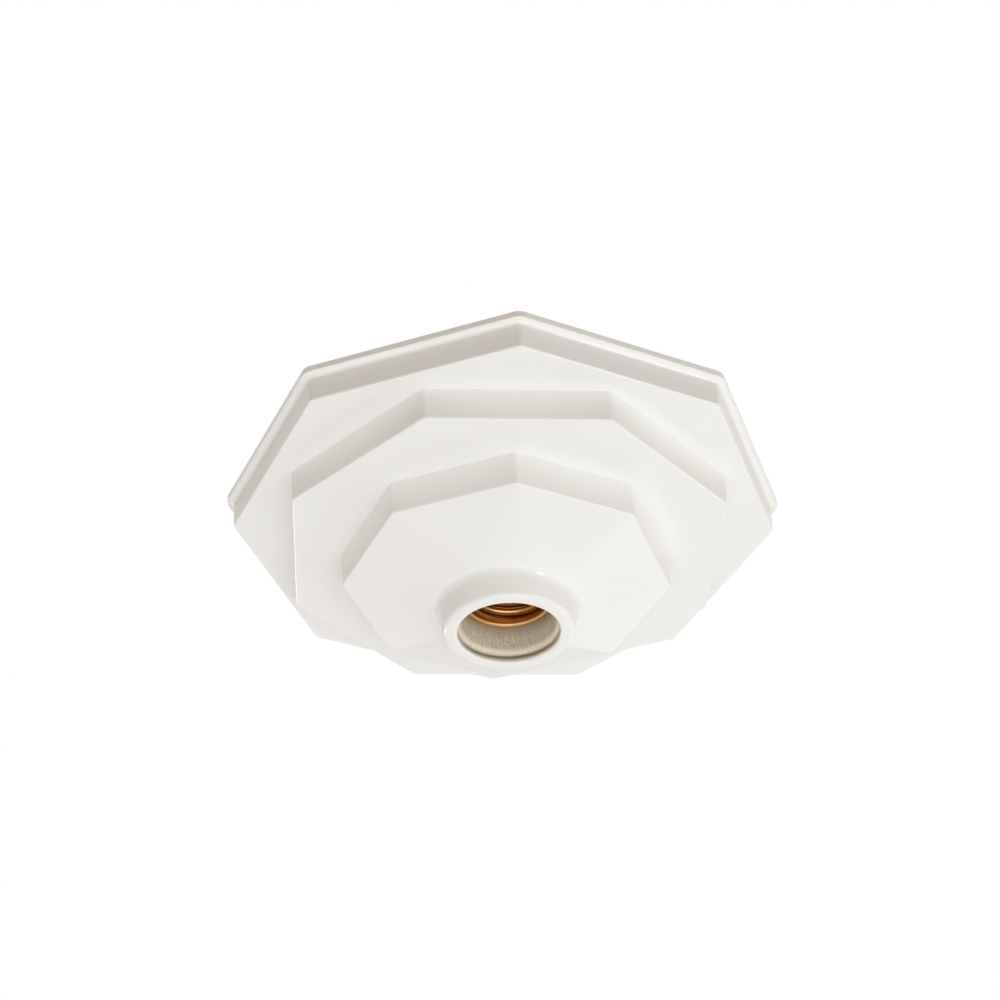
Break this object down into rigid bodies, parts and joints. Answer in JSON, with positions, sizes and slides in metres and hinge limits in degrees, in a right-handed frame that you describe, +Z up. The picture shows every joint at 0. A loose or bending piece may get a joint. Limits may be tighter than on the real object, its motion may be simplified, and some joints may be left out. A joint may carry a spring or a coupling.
{
  "type": "ceiling lamp holder",
  "caption": "White stepped octagonal ceiling canopy with a round collar that holds a porcelain Edison-screw socket, fixed to a ceiling box by a hidden keyhole bar.",
  "frame": {"origin": "centre of the ceiling plane, on the axis of the socket, level with the back of the flange and the mounting bar", "axes": "+Z up into the ceiling along the socket's axis, a corner of the flange towards -Y, the mounting bar along X"},
  "size_m": [0.1772, 0.1772, 0.0527],
  "materials": {
    "white_plastic": "smooth moulded gloss, warm white",
    "porcelain": "unglazed, pressed, beige",
    "brass": "rolled sheet, lightly tarnished",
    "bronze": "spring sheet",
    "screw_steel": "zinc plated",
    "galvanised_steel": "galvanised",
    "fibre": "pressed red fibre"
  },
  "bodies": {
    "holder": {"canopy": "white_plastic", "porcelain_body": "porcelain", "screw_shell": "brass", "shell_terminal": "brass", "contact_terminal": "brass", "shell_screw_left": "screw_steel", "shell_screw_right": "screw_steel", "contact_screw": "screw_steel", "shell_clamp_washer": "screw_steel", "contact_clamp_washer": "screw_steel", "holder_screw_left": "screw_steel", "holder_screw_right": "screw_steel", "holder_washer_left": "fibre", "holder_washer_right": "fibre", "mounting_bar": "galvanised_steel", "bar_screw_left": "screw_steel", "bar_screw_right": "screw_steel"},
    "contact_leaf": {"centre_contact": "bronze"},
    "shell_clamp": {"shell_wire_screw": "screw_steel"},
    "contact_clamp": {"contact_wire_screw": "screw_steel"}
  },
  "joints": [
    {"name": "contact_flex", "type": "hinge", "parent": "holder", "child": "contact_leaf", "pos_m": [0, -0.0043, -0.0146], "axis": [1, 0, 0], "range_deg": [0, 12], "stiffness_Nm_per_rad": 0.3, "deforming": ["centre_contact"]},
    {"name": "shell_wire_screw_turn", "type": "hinge", "parent": "holder", "child": "shell_clamp", "pos_m": [0, 0.0152, -0.006], "axis": [0, 0, 1], "range_deg": [0, 720]},
    {"name": "contact_wire_screw_turn", "type": "hinge", "parent": "holder", "child": "contact_clamp", "pos_m": [0, -0.0152, -0.006], "axis": [0, 0, 1], "range_deg": [0, 720]}
  ]
}
